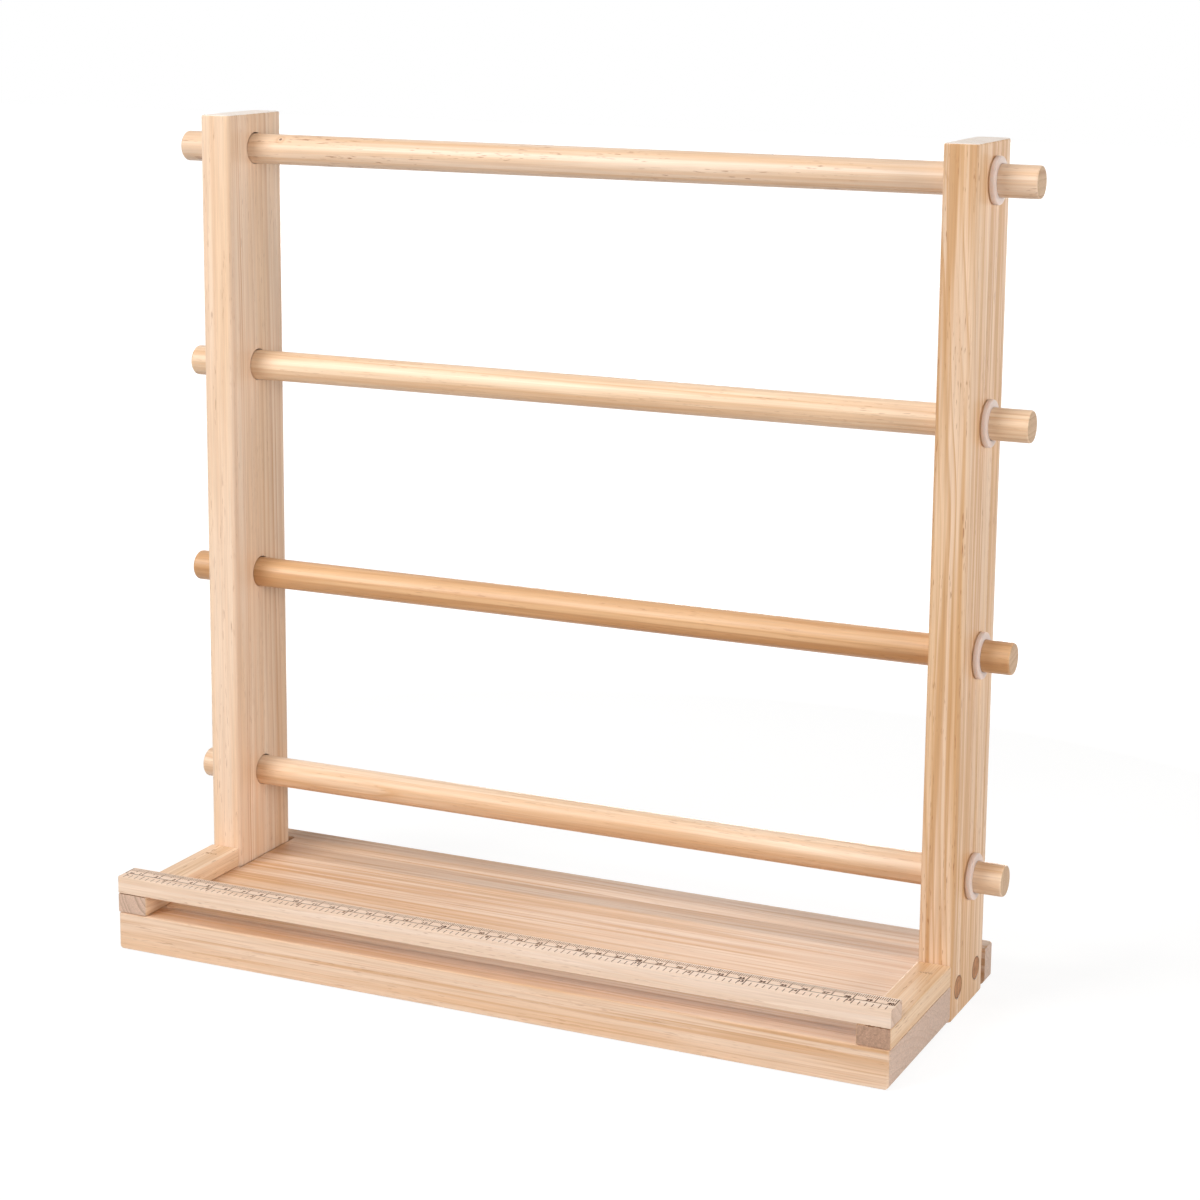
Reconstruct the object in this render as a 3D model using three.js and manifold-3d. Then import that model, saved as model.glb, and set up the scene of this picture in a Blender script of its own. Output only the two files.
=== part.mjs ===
// Ribbon storage rack: a pine stand whose four round rods carry spools of ribbon between two posts.
// The ribbon runs over the tray, under a measuring bar and out at the front.
// Millimetres, Z up. X runs along the rods, Y from the front to the back.
// The origin is the middle of the base board's underside.
import * as THREE from "three";
import { mergeVertices } from "three/addons/utils/BufferGeometryUtils.js";
import Module from "manifold-3d";

const wasm = await Module();
wasm.setup();

// Base board, with a notch at each end that holds a post
const rackWidth = 400;
const boardThickness = 18.6;
const boardEase = 1;
const boardCornerRound = 2;
const boardSideRound = 3.5;
const notchFit = 0.3;
const notchBackGap = 3.9;
const boardBehindNotch = 12.2;

// Posts
const postThickness = 16.6;
const postDepth = 50;
const postHeight = 404.7;
const postSetback = 85.4;
const postRound = 2.5;
const postEase = 1;

// Side rails and the measuring bar that lies on their front ends
const railWidth = 16.2;
const railHeight = 9.6;
const barDepth = 14.7;
const barHeight = 8.7;
const railEase = 0.7;
const railCornerRound = 1;
const barEase = 0.6;
const barCornerRound = 0.9;
const glueLine = 0.1;

// Rods: the top one below the posts' tops, the lowest above the floor, the others spread between
const rodDiameter = 15;
const rodEndRound = 1.2;
const topRodDrop = 17.5;
const lowRodHeight = 64;
const holeClearance = 0.5;
const rodSeatGap = 0.3;

// Each rod from the top down: how far its holes are drilled off the even spread,
// and how far the rod reaches past each post's outer face
const rodCuts = [
  { lift: 0, left: 23.1, right: 22 },
  { lift: -1.7, left: 19.4, right: 21.8 },
  { lift: -1.8, left: 20.4, right: 17.1 },
  { lift: 0, left: 16.6, right: 17 },
];

// Soft rings that grip the rods and keep them from sliding out of the posts
const ringDiameter = 22;
const ringThickness = 3;
const ringRound = 0.8;
const ringGripGap = 0.2;
const ringFaceGap = 0.3;

// Screws that hold the posts to the board's ends, and the wooden plugs over their heads
const screwHeight = 14.2;
const screwInset = 11.2;
const screwLength = 40;
const screwHeadDiameter = 7.2;
const screwShankDiameter = 3.5;
const screwHeadTaper = 2.4;
const screwTip = 4;
const screwHoleGap = 0.3;
const plugDiameter = 11;
const plugDepth = 5;
const plugRound = 0.4;
const plugGap = 0.2;

// Staples that hold the rails to the board, driven from above
const stapleCrown = 5.7;
const stapleWire = 1;
const stapleThickness = 1.2;
const stapleLength = 20;
const stapleSunk = 0.4;
const stapleGap = 0.3;
const stapleFrontInset = 10.6;
const stapleBackInset = 13.6;

// Headless pins that hold the measuring bar to the rails, driven from below
const pinDiameter = 1.8;
const pinGrip = 6;
const pinSunk = 0.5;
const pinGap = 0.3;
const pinInset = 4.4;

// Fineness of round shapes, and how far a cut runs past the face it opens
const holeSides = 48;
const rodSides = 44;
const ringSides = 32;
const plugSides = 32;
const fastenerSides = 16;
const cutMargin = 2;

// Places worked out from the sizes above
const halfWidth = rackWidth / 2;
const boardDepth = postSetback + postDepth + notchBackGap + boardBehindNotch;
const frontY = -boardDepth / 2;
const postY = frontY + postSetback + postDepth / 2;
const neckHalfWidth = halfWidth - postThickness - notchFit;
const notchFrontY = frontY + postSetback - notchFit;
const notchBackY = frontY + postSetback + postDepth + notchBackGap;
const railTop = boardThickness + glueLine + railHeight;
const railX = halfWidth - railWidth / 2;
const plugFloorX = halfWidth - plugDepth - plugGap;
const rodPitch = (postHeight - topRodDrop - lowRodHeight) / (rodCuts.length - 1);
const rodPlaces = rodCuts.map((cut, i) => ({
  height: postHeight - topRodDrop - i * rodPitch + cut.lift,
  leftEnd: -halfWidth - cut.left,
  rightEnd: halfWidth + cut.right,
}));
const sides = [
  { name: "left", sign: -1 },
  { name: "right", sign: 1 },
];
const depths = [
  { name: "front", sign: -1 },
  { name: "back", sign: 1 },
];

const pine = new THREE.MeshStandardMaterial({ color: 0xe3c69b, roughness: 0.6, metalness: 0 });
const palePine = new THREE.MeshStandardMaterial({ color: 0xe9d0a8, roughness: 0.6, metalness: 0 });
const plugWood = new THREE.MeshStandardMaterial({ color: 0xb0825f, roughness: 0.7, metalness: 0 });
const softRing = new THREE.MeshStandardMaterial({ color: 0xd9cfd8, roughness: 0.45, metalness: 0 });
const steel = new THREE.MeshStandardMaterial({ color: 0xb9bbbd, roughness: 0.35, metalness: 1 });

// A closed geometry as a solid that can be cut and joined.
function toSolid(geometry) {
  const bare = geometry.clone();
  bare.deleteAttribute("normal");
  bare.deleteAttribute("uv");
  const merged = mergeVertices(bare, 1e-4);
  return new wasm.Manifold(
    new wasm.Mesh({
      numProp: 3,
      vertProperties: merged.attributes.position.array,
      triVerts: new Uint32Array(merged.index.array),
    }),
  );
}

// A solid as a geometry that a mesh can show.
function toGeometry(solid) {
  const cut = solid.getMesh();
  const geometry = new THREE.BufferGeometry();
  geometry.setAttribute("position", new THREE.BufferAttribute(cut.vertProperties, 3));
  geometry.setIndex(new THREE.BufferAttribute(cut.triVerts, 1));
  geometry.computeVertexNormals();
  return geometry;
}

function cutAway(geometry, cutters) {
  const solid = cutters.reduce((left, cutter) => left.subtract(toSolid(cutter)), toSolid(geometry));
  return toGeometry(solid);
}

// A rectangle between two corners, its own corners rounded.
function roundedRectangle(x0, y0, x1, y1, round) {
  const shape = new THREE.Shape();
  shape.moveTo(x0 + round, y0);
  shape.lineTo(x1 - round, y0);
  shape.absarc(x1 - round, y0 + round, round, -Math.PI / 2, 0);
  shape.lineTo(x1, y1 - round);
  shape.absarc(x1 - round, y1 - round, round, 0, Math.PI / 2);
  shape.lineTo(x0 + round, y1);
  shape.absarc(x0 + round, y1 - round, round, Math.PI / 2, Math.PI);
  shape.lineTo(x0, y0 + round);
  shape.absarc(x0 + round, y0 + round, round, Math.PI, Math.PI * 1.5);
  return shape;
}

// A shape drawn in XY and raised from z0 to z1, its end edges eased inside the outline.
function raised(shape, z0, z1, ease) {
  const geometry = new THREE.ExtrudeGeometry(shape, {
    depth: z1 - z0 - 2 * ease,
    curveSegments: 4,
    bevelEnabled: true,
    bevelThickness: ease,
    bevelSize: ease,
    bevelOffset: -ease,
    bevelSegments: 2,
  });
  return geometry.translate(0, 0, z0 + ease);
}

// A profile of radius and place, turned about the X axis: place grows along X.
function turnedAboutX(points, sideCount) {
  const profile = points.map(([radius, place]) => new THREE.Vector2(radius, place));
  return new THREE.LatheGeometry(profile, sideCount).rotateZ(-Math.PI / 2);
}

// A plain round bar along X.
function roundBar(x0, x1, radius, sideCount) {
  return turnedAboutX([[0, x0], [radius, x0], [radius, x1], [0, x1]], sideCount);
}

// A quarter circle of profile points about (radius, place), from one angle to another.
function roundedCorner(radius, place, round, fromAngle, toAngle, steps) {
  const points = [];
  for (let i = 0; i <= steps; i++) {
    const angle = fromAngle + ((toAngle - fromAngle) * i) / steps;
    points.push([radius + round * Math.cos(angle), place + round * Math.sin(angle)]);
  }
  return points;
}

// The board seen from above: full width in front and behind, narrow between the two notches.
function boardOutline() {
  const backY = frontY + boardDepth;
  const r = boardCornerRound;
  const shape = new THREE.Shape();
  shape.moveTo(-halfWidth + r, frontY);
  shape.lineTo(halfWidth - r, frontY);
  shape.absarc(halfWidth - r, frontY + r, r, -Math.PI / 2, 0);
  shape.lineTo(halfWidth, notchFrontY);
  shape.lineTo(neckHalfWidth, notchFrontY);
  shape.lineTo(neckHalfWidth, notchBackY);
  shape.lineTo(halfWidth, notchBackY);
  shape.lineTo(halfWidth, backY - r);
  shape.absarc(halfWidth - r, backY - r, r, 0, Math.PI / 2);
  shape.lineTo(-halfWidth + r, backY);
  shape.absarc(-halfWidth + r, backY - r, r, Math.PI / 2, Math.PI);
  shape.lineTo(-halfWidth, notchBackY);
  shape.lineTo(-neckHalfWidth, notchBackY);
  shape.lineTo(-neckHalfWidth, notchFrontY);
  shape.lineTo(-halfWidth, notchFrontY);
  shape.lineTo(-halfWidth, frontY + r);
  shape.absarc(-halfWidth + r, frontY + r, r, Math.PI, Math.PI * 1.5);
  return shape;
}

// The wood that the rounded lower side edges leave: a section in XZ run from front to back.
function boardSideRounding() {
  const above = boardThickness + boardSideRound;
  const section = roundedRectangle(-halfWidth, 0, halfWidth, above, boardSideRound);
  const geometry = new THREE.ExtrudeGeometry(section, {
    depth: boardDepth + 2 * cutMargin,
    curveSegments: 5,
    bevelEnabled: false,
  });
  return geometry.rotateX(Math.PI / 2).translate(0, boardDepth / 2 + cutMargin, 0);
}

function baseBoard() {
  const blank = raised(boardOutline(), 0, boardThickness, boardEase);
  const shaped = toGeometry(toSolid(blank).intersect(toSolid(boardSideRounding())));
  const cutters = [];
  for (const side of sides) {
    for (const depth of depths) {
      cutters.push(screwHole(side.sign, depth.sign));
      cutters.push(stapleCutter(side.sign, depth.sign));
    }
    cutters.push(pinHole(side.sign));
  }
  return cutAway(shaped, cutters);
}

function post(side) {
  const outerX = side * halfWidth;
  const innerX = side * (halfWidth - postThickness);
  const y0 = postY - postDepth / 2;
  const outline = roundedRectangle(
    Math.min(outerX, innerX), y0, Math.max(outerX, innerX), y0 + postDepth, postRound,
  );
  const cutters = rodPlaces.map(rodHole);
  for (const depth of depths) {
    cutters.push(screwHole(side, depth.sign));
    cutters.push(headRecess(side, depth.sign));
  }
  return cutAway(raised(outline, 0, postHeight, postEase), cutters);
}

// Both posts are bored in line. A rod lies at the bottom of its holes,
// so their axis is a little above the rod's.
function rodHole(place) {
  const radius = rodDiameter / 2 + holeClearance;
  const height = place.height + holeClearance - rodSeatGap;
  const bar = roundBar(-halfWidth - cutMargin, halfWidth + cutMargin, radius, holeSides);
  return bar.translate(0, postY, height);
}

function rod(place) {
  const r = rodDiameter / 2;
  const e = rodEndRound;
  const profile = [
    [0, place.leftEnd],
    ...roundedCorner(r - e, place.leftEnd + e, e, -Math.PI / 2, 0, 3),
    ...roundedCorner(r - e, place.rightEnd - e, e, 0, Math.PI / 2, 3),
    [0, place.rightEnd],
  ];
  return turnedAboutX(profile, rodSides).translate(0, postY, place.height);
}

// A soft ring round a rod, close to the outer face of a post.
function ring(side, place) {
  const inner = rodDiameter / 2 + ringGripGap;
  const outer = ringDiameter / 2;
  const near = side < 0 ? -halfWidth - ringFaceGap - ringThickness : halfWidth + ringFaceGap;
  const far = near + ringThickness;
  const e = ringRound;
  const profile = [
    [inner, near],
    ...roundedCorner(outer - e, near + e, e, -Math.PI / 2, 0, 2),
    ...roundedCorner(outer - e, far - e, e, 0, Math.PI / 2, 2),
    [inner, far],
    [inner, near],
  ];
  return turnedAboutX(profile, ringSides).translate(0, postY, place.height);
}

// Rails run from the front edge of the board to the posts.
function rail(side) {
  const y1 = frontY + postSetback - glueLine;
  const x0 = side < 0 ? -halfWidth : halfWidth - railWidth;
  const outline = roundedRectangle(x0, frontY, x0 + railWidth, y1, railCornerRound);
  const blank = raised(outline, boardThickness + glueLine, railTop, railEase);
  const cutters = depths.map((depth) => stapleCutter(side, depth.sign));
  return cutAway(blank, [...cutters, pinHole(side)]);
}

function measuringBar() {
  const backY = frontY + barDepth;
  const outline = roundedRectangle(-halfWidth, frontY, halfWidth, backY, barCornerRound);
  const z0 = railTop + glueLine;
  return cutAway(raised(outline, z0, z0 + barHeight, barEase), sides.map((side) => pinHole(side.sign)));
}

function screwY(depth) {
  return postY + depth * (postDepth / 2 - screwInset);
}

// The screw's head lies at the bottom of the plug's recess, and its point is in the board.
function screw(side, depth) {
  const head = plugFloorX - plugGap;
  const tip = head - screwLength;
  const profile = [
    [0, tip],
    [screwShankDiameter / 2, tip + screwTip],
    [screwShankDiameter / 2, head - screwHeadTaper],
    [screwHeadDiameter / 2, head],
    [0, head],
  ];
  return atScrew(turnedAboutX(profile, fastenerSides), side, depth);
}

// Everything about a screw is drawn for the right side, and turned round for the left one.
function atScrew(geometry, side, depth) {
  const placed = side < 0 ? geometry.rotateZ(Math.PI) : geometry;
  return placed.translate(0, screwY(depth), screwHeight);
}

function screwHole(side, depth) {
  const head = plugFloorX + screwHoleGap;
  const tip = plugFloorX - plugGap - screwLength - screwHoleGap;
  const shank = screwShankDiameter / 2 + screwHoleGap;
  const profile = [
    [0, tip],
    [shank, tip + screwHoleGap],
    [shank, head - screwHeadTaper - 2 * screwHoleGap],
    [screwHeadDiameter / 2 + screwHoleGap, head],
    [0, head],
  ];
  return atScrew(turnedAboutX(profile, fastenerSides), side, depth);
}

function plug(side, depth) {
  const r = plugDiameter / 2;
  const e = plugRound;
  const profile = [
    [0, halfWidth - plugDepth],
    [r, halfWidth - plugDepth],
    ...roundedCorner(r - e, halfWidth - e, e, 0, Math.PI / 2, 2),
    [0, halfWidth],
  ];
  return atScrew(turnedAboutX(profile, plugSides), side, depth);
}

function headRecess(side, depth) {
  const bar = roundBar(plugFloorX, halfWidth + cutMargin, plugDiameter / 2 + plugGap, plugSides);
  return atScrew(bar, side, depth);
}

function stapleY(depth) {
  return depth < 0 ? frontY + stapleFrontInset : frontY + postSetback - stapleBackInset;
}

// The outline of a staple in XZ, grown by a gap all round, with its crown's top at a height.
function stapleOutline(gap, crownTop) {
  const outer = stapleCrown / 2 + gap;
  const inner = stapleCrown / 2 - stapleWire - gap;
  const foot = railTop - stapleSunk - stapleLength - gap;
  const crownUnder = railTop - stapleSunk - stapleWire - gap;
  const shape = new THREE.Shape();
  shape.moveTo(-outer, foot);
  shape.lineTo(-inner, foot);
  shape.lineTo(-inner, crownUnder);
  shape.lineTo(inner, crownUnder);
  shape.lineTo(inner, foot);
  shape.lineTo(outer, foot);
  shape.lineTo(outer, crownTop);
  shape.lineTo(-outer, crownTop);
  return shape;
}

function stapleSolid(side, depth, gap, crownTop) {
  const thickness = stapleThickness + 2 * gap;
  const geometry = new THREE.ExtrudeGeometry(stapleOutline(gap, crownTop), {
    depth: thickness,
    bevelEnabled: false,
  });
  geometry.rotateX(Math.PI / 2);
  return geometry.translate(side * railX, stapleY(depth) + thickness / 2, 0);
}

function staple(side, depth) {
  return stapleSolid(side, depth, 0, railTop - stapleSunk);
}

function stapleCutter(side, depth) {
  return stapleSolid(side, depth, stapleGap, railTop + cutMargin);
}

function pinBar(side, z0, z1, radius) {
  const bar = new THREE.CylinderGeometry(radius, radius, z1 - z0, fastenerSides);
  bar.rotateX(Math.PI / 2);
  return bar.translate(side * railX, frontY + pinInset, (z0 + z1) / 2);
}

function barPin(side) {
  return pinBar(side, pinSunk, railTop + glueLine + pinGrip, pinDiameter / 2);
}

function pinHole(side) {
  return pinBar(side, -cutMargin, railTop + glueLine + pinGrip + pinGap, pinDiameter / 2 + pinGap);
}

const rack = new THREE.Group();

function add(name, geometry, material) {
  const mesh = new THREE.Mesh(geometry, material);
  mesh.name = name;
  rack.add(mesh);
}

add("base_board", baseBoard(), pine);
add("measuring_bar", measuringBar(), palePine);
for (const side of sides) {
  add(side.name + "_post", post(side.sign), pine);
  add(side.name + "_rail", rail(side.sign), palePine);
  add(side.name + "_bar_pin", barPin(side.sign), steel);
  for (const depth of depths) {
    const place = side.name + "_" + depth.name;
    add(place + "_plug", plug(side.sign, depth.sign), plugWood);
    add(place + "_screw", screw(side.sign, depth.sign), steel);
    add(place + "_staple", staple(side.sign, depth.sign), steel);
  }
}
rodPlaces.forEach((place, i) => {
  const number = i + 1;
  add("rod_" + number, rod(place), palePine);
  for (const side of sides) {
    add(side.name + "_ring_" + number, ring(side.sign, place), softRing);
  }
});

export default rack;
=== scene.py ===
"""The ribbon storage rack: pine, soft rings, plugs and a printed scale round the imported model."""
import math
import random

import bmesh
import bpy
from mathutils import Matrix, Vector


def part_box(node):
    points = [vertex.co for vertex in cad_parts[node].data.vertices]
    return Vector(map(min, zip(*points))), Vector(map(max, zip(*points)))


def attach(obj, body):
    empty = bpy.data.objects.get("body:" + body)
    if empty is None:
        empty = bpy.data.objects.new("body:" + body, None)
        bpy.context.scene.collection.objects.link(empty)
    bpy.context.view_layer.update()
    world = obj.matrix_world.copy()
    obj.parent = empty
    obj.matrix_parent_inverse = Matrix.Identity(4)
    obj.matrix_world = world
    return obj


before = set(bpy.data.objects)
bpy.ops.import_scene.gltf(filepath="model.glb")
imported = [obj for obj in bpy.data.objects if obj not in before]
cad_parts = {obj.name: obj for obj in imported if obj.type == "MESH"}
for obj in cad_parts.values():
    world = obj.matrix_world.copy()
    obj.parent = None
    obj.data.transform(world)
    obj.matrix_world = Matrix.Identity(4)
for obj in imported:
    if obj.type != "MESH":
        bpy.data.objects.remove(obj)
bpy.context.view_layer.update()
MM = 0.001

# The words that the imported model's names are made of.
STAND = "stand"
SIDES = ("left", "right")
PLACES = ("front", "back")
ROD_NUMBERS = (1, 2, 3, 4)

# The camera stands where the photograph's did, as fitted to about ninety points of the rack.
CAMERA_PLACE = (0.55568, -1.15453, 0.48494)
CAMERA_YAW = math.radians(24.718)
CAMERA_DOWN = math.radians(10.569)
CAMERA_ROLL = math.radians(0.504)
CAMERA_LENS = 82.8
CAMERA_SHIFT = -0.11

# The room's even light on the object, and the white that is seen instead of it.
AMBIENT = 0.07
ROOM_LIGHT, WHITE = (1.0, 0.985, 0.97, 1.0), (1.0, 1.0, 1.0, 1.0)

# The floor, in metres: half its width, its level, and where its shadow fades and its paper darkens.
FLOOR_HALF, FLOOR_LEVEL = 6.0, -0.0004
SHADOW_FADE, PAPER_FADE = (0.3, 0.6), (0.35, 0.9)

# The least share of glowing white in the floor that is seen, its glow, and the paper's colours.
FLOOR_WHITE = 0.76
FLOOR_GLOW = 1.175
PAPER, TABLE = (0.7, 0.69, 0.68, 1.0), (0.4, 0.39, 0.38, 1.0)

# Each lamp's name, place, aim, width and depth in metres, and watts.
LAMP_COLOUR = (1.0, 0.99, 0.975)
LAMPS = (
    ("overhead_strip", (-0.1, -0.3, 1.7), (-0.1, 0.0, 0.2), 1.4, 0.12, 8.0),
    ("front_left", (-0.95, -1.5, 1.3), (0.0, 0.0, 0.1), 1.0, 1.0, 34.0),
    ("right", (1.85, -0.5, 0.5), (0.2, 0.0, 0.25), 1.3, 0.5, 21.5),
    ("back_fill", (-0.3, 2.1, 0.2), (0.0, 0.0, 0.16), 1.4, 0.3, 18.0),
)


# Shader building blocks.

def tone(red, green, blue):
    """The linear colour, with alpha, of a colour given as three screen values out of 255."""
    def linear(value):
        value /= 255
        return value / 12.92 if value <= 0.04045 else ((value + 0.055) / 1.055) ** 2.4
    return (linear(red), linear(green), linear(blue), 1.0)


AXES = {"X": (1.0, 0.0, 0.0), "Y": (0.0, 1.0, 0.0), "Z": (0.0, 0.0, 1.0)}
BUMP_STRENGTH = 0.5


class Graph:
    """A material's node tree, with one short method for each kind of node in use."""

    def __init__(self, name):
        self.material = bpy.data.materials.new(name)
        self.material.use_nodes = True
        self.nodes = self.material.node_tree.nodes
        self.links = self.material.node_tree.links
        self.nodes.clear()

    def node(self, kind, **settings):
        made = self.nodes.new(kind)
        for key, value in settings.items():
            setattr(made, key, value)
        return made

    def feed(self, socket, value):
        if isinstance(value, bpy.types.NodeSocket):
            self.links.new(value, socket)
        else:
            socket.default_value = value

    def math(self, operation, first, second=0.0, third=0.0, clamp=False):
        made = self.node("ShaderNodeMath", operation=operation, use_clamp=clamp)
        for socket, value in zip(made.inputs, (first, second, third)):
            self.feed(socket, value)
        return made.outputs[0]

    def vector(self, operation, first, second=(0.0, 0.0, 0.0)):
        made = self.node("ShaderNodeVectorMath", operation=operation)
        self.feed(made.inputs[0], first)
        self.feed(made.inputs[1], second)
        return made.outputs["Value" if operation in ("DOT_PRODUCT", "LENGTH") else "Vector"]

    def noise(self, vector, detail, roughness):
        made = self.node("ShaderNodeTexNoise", noise_dimensions="3D")
        self.feed(made.inputs["Vector"], vector)
        made.inputs["Scale"].default_value = 1.0
        made.inputs["Detail"].default_value = detail
        made.inputs["Roughness"].default_value = roughness
        return made.outputs[0]

    def chance(self, value):
        """A random number from 0 to 1 that is the same wherever the value is the same."""
        made = self.node("ShaderNodeTexWhiteNoise", noise_dimensions="1D")
        self.feed(made.inputs["W"], value)
        return made.outputs[0]

    def steps(self, value, stops):
        """A grey ramp through (place, height) stops."""
        made = self.node("ShaderNodeValToRGB")
        self.feed(made.inputs[0], value)
        band = made.color_ramp
        while len(band.elements) < len(stops):
            band.elements.new(0.5)
        for element, (place, height) in zip(band.elements, stops):
            element.position = place
            element.color = (height, height, height, 1.0)
        return made.outputs["Color"]

    def rise(self, value, low, high):
        """0 below low, 1 above high, and a smooth rise between them."""
        made = self.node("ShaderNodeMapRange", interpolation_type="SMOOTHSTEP")
        self.feed(made.inputs["Value"], value)
        made.inputs["From Min"].default_value = low
        made.inputs["From Max"].default_value = high
        return made.outputs[0]

    def blend(self, share, first, second, way="MIX"):
        made = self.node("ShaderNodeMix", data_type="RGBA", blend_type=way)
        self.feed(made.inputs[0], share)
        self.feed(made.inputs[6], first)
        self.feed(made.inputs[7], second)
        return made.outputs[2]

    def about(self, value, middle, swing):
        """A multiplier near middle that follows a 0 to 1 value by the given swing."""
        return self.math("MULTIPLY_ADD", value, 2 * swing, middle - swing)

    def grey(self, value):
        made = self.node("ShaderNodeCombineColor")
        for socket in made.inputs[:3]:
            self.feed(socket, value)
        return made.outputs[0]

    def shade(self, colour, value, swing, middle=1.0):
        """The colour made darker and lighter by a 0 to 1 value."""
        return self.blend(1.0, colour, self.grey(self.about(value, middle, swing)), "MULTIPLY")

    def held(self):
        """The place on the part in mm, and the way its surface faces."""
        made = self.node("ShaderNodeTexCoord")
        place = self.vector("MULTIPLY", made.outputs["Object"], (1 / MM, 1 / MM, 1 / MM))
        return place, made.outputs["Normal"]

    def apart(self, place):
        """The X, Y and Z of a place."""
        made = self.node("ShaderNodeSeparateXYZ")
        self.feed(made.inputs[0], place)
        return tuple(made.outputs)

    def along(self, reach, axis):
        """How far a place or a direction reaches along an axis, without its sign."""
        return self.math("ABSOLUTE", self.vector("DOT_PRODUCT", reach, AXES[axis]))

    def distance(self, first, second):
        """The length of a way made of two steps at right angles."""
        squares = self.math("MULTIPLY_ADD", first, first, self.math("MULTIPLY", second, second))
        return self.math("SQRT", squares)

    def finish(self, colour, roughness, height=None, depth=0.08, **fixed):
        """Ends the tree in a principled surface, with a bump of the given depth in mm."""
        skin = self.node("ShaderNodeBsdfPrincipled")
        self.feed(skin.inputs["Base Color"], colour)
        self.feed(skin.inputs["Roughness"], roughness)
        for key, value in fixed.items():
            skin.inputs[key.replace("_", " ")].default_value = value
        if height is not None:
            bump = self.node("ShaderNodeBump")
            bump.inputs["Strength"].default_value = BUMP_STRENGTH
            bump.inputs["Distance"].default_value = depth * MM
            self.feed(bump.inputs["Height"], height)
            self.links.new(bump.outputs[0], skin.inputs["Normal"])
        end = self.node("ShaderNodeOutputMaterial")
        self.links.new(skin.outputs[0], end.inputs[0])
        return self.material


# Each noise: its spots' size in mm across the grain and along it, its start, its detail and its
# roughness. Where two more numbers follow, it rises from 0 to 1 between them.
NOISES = {
    "wander": (45, 230, 0.0, 1.0, 0.5),
    "ripple": (9, 55, 0.0, 1.0, 0.5),
    "clear": (8, 140, 43.0, 1.0, 0.5, 0.34, 0.62),
    "warm": (9, 190, 4.0, 1.0, 0.5, 0.42, 0.7),
    "bands": (3.0, 170, 17.0, 2.0, 0.5, 0.44, 0.64),
    "streaks": (0.9, 75, 63.0, 2.0, 0.55, 0.52, 0.68),
    "fibres": (0.7, 26, 9.0, 3.0, 0.6),
    "dashes": (0.55, 7, 31.0, 1.0, 0.5, 0.62, 0.72),
    "dash_groups": (4, 60, 57.0, 1.0, 0.5, 0.46, 0.6),
    "pores": (0.45, 6, 77.0, 3.0, 0.7),
    "speckle": (1.0, 12, 91.0, 2.0, 0.6),
    "plug_pores": (0.4, 5, 0.0, 3.0, 0.7),
    "plug_blots": (3.5, 30, 5.0, 2.0, 0.5, 0.4, 0.7),
    "ring_cloud": (3.0, 3.0, 0.0, 2.0, 0.5),
    "ring_dust": (0.5, 0.5, 8.0, 3.0, 0.7),
    "seat_cloud": (1.5, 1.5, 0.0, 2.0, 0.5),
    "filler_breaks": (0.9, 0.9, 0.0, 2.0, 0.6, 0.42, 0.58),
    "filler_dust": (0.4, 0.4, 5.0, 3.0, 0.7),
    "steel_lines": (0.3, 2.0, 0.0, 2.0, 0.5),
    "steel_spots": (1.1, 1.1, 3.0, 3.0, 0.6),
    "seam_shade_clots": (0.8, 0.8, 0.0, 3.0, 0.6),
    "ink_soaked": (0.9, 0.9, 0.0, 3.0, 0.7),
    "ink_worn": (28.0, 28.0, 6.0, 1.0, 0.5),
}


def figure(graph, place, name):
    """One of the named noises over a place in mm."""
    across, along, start, detail, roughness, *limits = NOISES[name]
    place = graph.vector("MULTIPLY", place, (1 / across, 1 / across, 1 / along))
    if start:
        place = graph.vector("ADD", place, (start, start, start))
    value = graph.noise(place, detail, roughness)
    return graph.rise(value, *limits) if limits else value


# Pine. The order of its axes is across the grain, across it again, and along it.
GRAIN_ORDER = {"X": (1, 2, 0), "Y": (0, 2, 1), "Z": (0, 1, 2)}

# In mm: how far off in a log a stick may have been cut, and how far apart a board's staves were.
LOG_REACH = 900
STAVE_ACROSS, STAVE_ALONG = 23.0, 517.0

# In mm: how far the year rings wander and ripple. Then the share of a pith's lean on its other axis.
RING_WANDER, RING_RIPPLE = 17.0, 2.6
OTHER_LEAN = 0.6

# How uneven the years are, how quickly that changes, and how dark the wood gets through a year.
YEAR_SWING, YEAR_SCALE = 2.0, 0.6
LATE_WOOD = ((0.0, 0.5), (0.07, 0.03), (0.45, 0.1), (0.75, 0.45), (0.92, 1.0), (1.0, 0.5))

# A multiplier's middle and swing from weak to full, and the swing and middle of a stave's shade.
WEAK_TO_FULL, STAVE_SHADE = (0.62, 0.38), (0.03, 0.99)

# How clear the year rings are at least, how much clearer they get, and the warm patches' share.
CLEAR_LEAST, CLEAR_SWING, WARM_SHARE = 0.45, 0.55, 0.6
FIBRE_SWING, PORE_SWING = 0.15, 0.34

# How squarely a surface faces along the grain where end grain begins and where it is all there is.
END_LIMITS = (0.55, 0.9)

# Bump heights of end pores and resin dashes beside a fibre's, and how the roughness varies.
PORE_BUMP, DASH_BUMP = 1.6, -0.5
END_ROUGHER, ROUGH_SWING = 0.2, 0.08

STREAK_TONE, DASH_TONE = tone(198, 144, 92), tone(154, 92, 48)

# What a stick of pine looks like where its own call says nothing else.
PINE_LOOK = {
    "contrast": 1.0, "streaks": 0.35, "bands": 0.5, "dashes": 0.7, "rough": 0.46, "shine": 0.22,
    "end_early": tone(216, 190, 172), "end_late": tone(190, 158, 136), "end_rings": 0.9,
    "speckle": 0.12, "glue_lines": (), "pale_below": None, "knot": None,
}


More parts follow.
